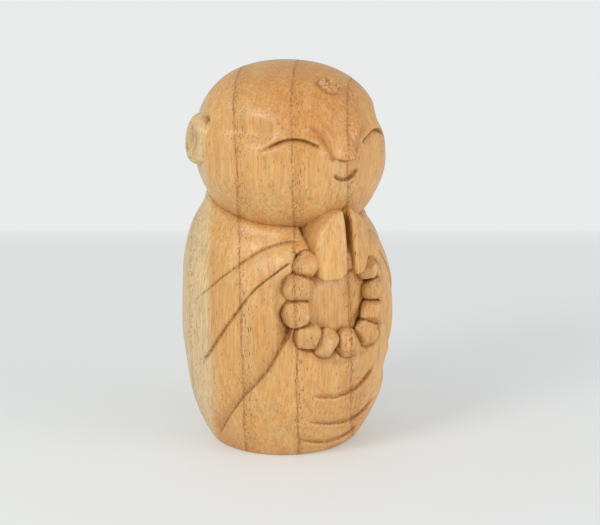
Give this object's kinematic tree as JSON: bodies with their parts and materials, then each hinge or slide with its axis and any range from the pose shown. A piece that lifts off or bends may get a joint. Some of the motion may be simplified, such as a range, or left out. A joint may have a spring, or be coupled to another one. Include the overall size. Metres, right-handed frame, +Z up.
{
  "type": "carved wooden doll",
  "caption": "Small carved wooden doll of a praying child monk: large round head with closed eyes, egg-shaped robe, pressed palms and a string of prayer beads, standing on a flat foot.",
  "frame": {"origin": "middle of the flat foot that the figure stands on", "axes": "+Z up; the figure faces -Y; its own right hand is on -X"},
  "size_m": [0.0708, 0.0728, 0.13],
  "materials": {
    "carved_wood": "knife-cut ring-porous hardwood, tan to orange, grain upright, lightly oiled satin",
    "bead_wood": "the same wood in small knife facets, satin",
    "dot_wood": "the same wood left rough from the gouge",
    "dowel_wood": "plain turned hardwood dowel, unfinished"
  },
  "bodies": {
    "root": {"body": "carved_wood", "head": "carved_wood", "neck_dowel": "dowel_wood", "right_palm": "carved_wood", "left_palm": "carved_wood", "forehead_dot": "dot_wood", "bead_01": "bead_wood", "bead_02": "bead_wood", "bead_03": "bead_wood", "bead_04": "bead_wood", "bead_05": "bead_wood", "bead_06": "bead_wood", "bead_07": "bead_wood", "bead_08": "bead_wood", "bead_09": "bead_wood", "bead_10": "bead_wood"}
  },
  "joints": []
}
